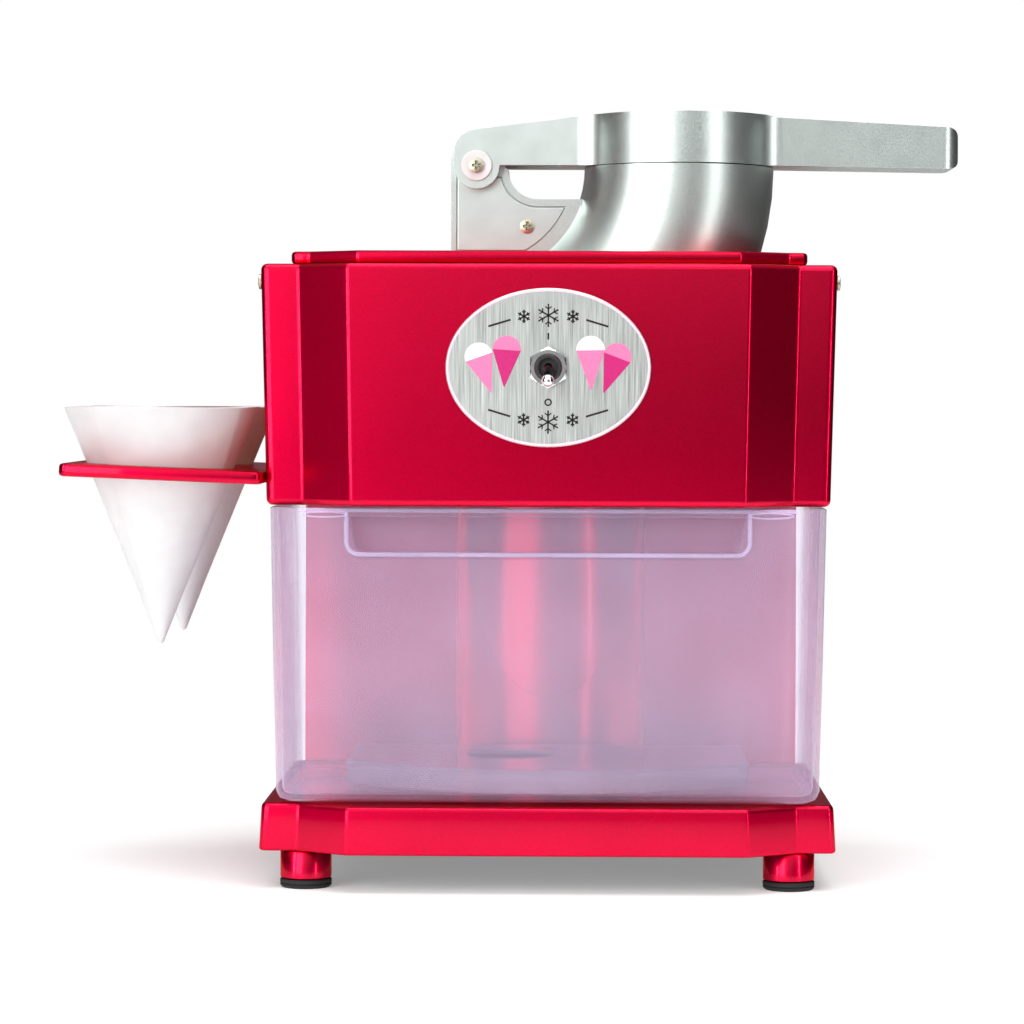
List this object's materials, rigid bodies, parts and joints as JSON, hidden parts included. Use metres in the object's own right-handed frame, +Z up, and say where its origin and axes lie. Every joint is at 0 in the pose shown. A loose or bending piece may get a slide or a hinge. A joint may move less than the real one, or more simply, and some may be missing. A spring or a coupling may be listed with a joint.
{
  "type": "shaved ice machine",
  "caption": "Countertop shaved ice machine with a hand lever over a cast feed elbow, a clear ice drawer and a side rack for paper cones.",
  "frame": {"origin": "on the surface it stands on, under the middle of its overall box", "axes": "+X to the machine's right, along the lever from its pin to its grip; +Y to the back; +Z up"},
  "size_m": [0.4196, 0.2328, 0.3585],
  "materials": {
    "red_paint": "metallic red lacquer, high gloss",
    "cast_aluminium": "die-cast, satin silver",
    "brushed_aluminium": "brushed",
    "chrome": "polished",
    "steel": "plain bright",
    "rubber": "matt",
    "black_plastic": "satin moulded",
    "grey_plastic": "satin moulded",
    "clear_plastic": "clear moulded",
    "white_paper": "plain uncoated paper",
    "copper_winding": "varnished winding and laminations",
    "bronze": "sintered"
  },
  "bodies": {
    "body": {"base_shell": "red_paint", "base_bottom_plate": "black_plastic", "foot_post_front_left": "red_paint", "foot_post_front_right": "red_paint", "foot_post_rear_left": "red_paint", "foot_post_rear_right": "red_paint", "rubber_foot_front_left": "rubber", "rubber_foot_front_right": "rubber", "rubber_foot_rear_left": "rubber", "rubber_foot_rear_right": "rubber", "rear_casing": "red_paint", "ice_deflector": "red_paint", "housing_shell": "red_paint", "housing_floor": "black_plastic", "top_cover": "red_paint", "side_screw_front_left": "steel", "side_screw_front_right": "steel", "side_screw_rear_left": "steel", "side_screw_rear_right": "steel", "rear_vent_cover": "black_plastic", "cord_gland": "black_plastic", "badge_plate": "brushed_aluminium", "toggle_case": "black_plastic", "toggle_bushing": "chrome", "toggle_nut": "chrome", "feed_chute": "cast_aluminium", "bracket_cover": "cast_aluminium", "bracket_screw": "steel", "interlock_switch": "black_plastic", "pivot_pin": "steel", "pivot_washer": "grey_plastic", "pivot_screw": "steel", "discharge_hood": "grey_plastic", "shaft_bearing": "bronze", "drive_belt": "rubber", "motor_can": "steel", "motor_front_bell": "steel", "motor_rear_bell": "steel", "motor_mount": "grey_plastic"},
    "lever": {"feed_lever": "cast_aluminium", "plunger_arm": "cast_aluminium", "plunger_head": "cast_aluminium"},
    "toggle": {"toggle_bat": "chrome"},
    "drawer": {"clear_bin": "clear_plastic", "bin_insert": "clear_plastic"},
    "cone_rack": {"cone_holder": "red_paint"},
    "cone_front": {"paper_cone_front": "white_paper"},
    "cone_rear": {"paper_cone_rear": "white_paper"},
    "blade_unit": {"blade_disc": "cast_aluminium", "shaver_blade_1": "steel", "shaver_blade_2": "steel", "shaver_blade_3": "steel", "drive_shaft": "steel", "driven_pulley": "black_plastic"},
    "motor_rotor": {"motor_armature": "copper_winding", "motor_shaft": "steel", "cooling_fan": "black_plastic", "motor_pulley": "black_plastic"}
  },
  "joints": [
    {"name": "lever_lift", "type": "hinge", "parent": "body", "child": "lever", "pos_m": [-0.0188, 0.00813, 0.3342], "axis": [0, -1, 0], "range_deg": [0, 110]},
    {"name": "toggle_flip", "type": "hinge", "parent": "body", "child": "toggle", "pos_m": [0.0162, -0.09537, 0.2378], "axis": [-1, 0, 0], "range_deg": [0, 36]},
    {"name": "drawer_pull_out", "type": "slide", "parent": "body", "child": "drawer", "axis": [0, -1, 0], "range_m": [0, 0.16]},
    {"name": "rack_pull_off", "type": "slide", "parent": "body", "child": "cone_rack", "axis": [-1, 0, 0], "range_m": [0, 0.03]},
    {"name": "cone_front_lift", "type": "slide", "parent": "cone_rack", "child": "cone_front", "axis": [0, 0, 1], "range_m": [0, 0.13]},
    {"name": "cone_rear_lift", "type": "slide", "parent": "cone_rack", "child": "cone_rear", "axis": [0, 0, 1], "range_m": [0, 0.13]},
    {"name": "blade_spin", "type": "hinge", "parent": "body", "child": "blade_unit", "pos_m": [-0.0288, 0.00813, 0.2377], "axis": [1, 0, 0], "continuous": true},
    {"name": "motor_spin", "type": "hinge", "parent": "body", "child": "motor_rotor", "pos_m": [0.0322, 0.08213, 0.2177], "axis": [1, 0, 0], "continuous": true}
  ],
  "couplings": [
    {"joint": "motor_spin", "follows": "blade_spin", "ratio": 3.8}
  ]
}
